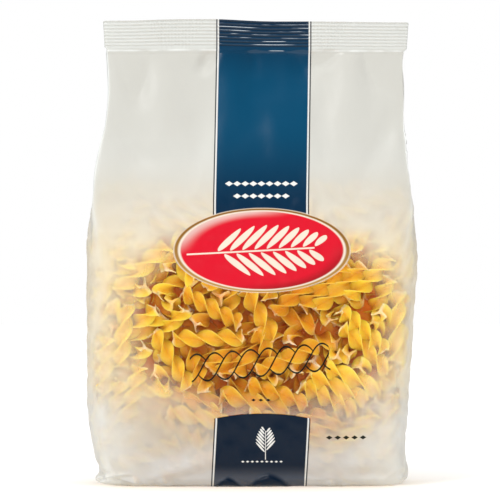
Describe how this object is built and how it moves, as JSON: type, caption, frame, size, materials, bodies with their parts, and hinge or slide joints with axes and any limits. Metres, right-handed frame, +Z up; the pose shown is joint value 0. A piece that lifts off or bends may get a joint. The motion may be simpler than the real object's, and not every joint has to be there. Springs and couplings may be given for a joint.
{
  "type": "pasta packet",
  "caption": "Upright side-gusseted film packet of dry spiral pasta, filled and shut, with a flat base, a crimped top seal and a clear window in its frosted, printed front.",
  "frame": {"origin": "the middle of the flat base that the packet stands on, under the middle of its bounding box", "axes": "+Z up towards the crimped seal, -Y out of the printed front, +X to the right seen from the front"},
  "size_m": [0.1828, 0.0686, 0.255],
  "materials": {
    "film": "frosted white packaging film with a clear window, printed in dark blue, red and gold",
    "pasta": "dry durum wheat pasta, golden, matte to faintly waxy"
  },
  "bodies": {
    "root": {"packet": "film"}
  },
  "joints": []
}
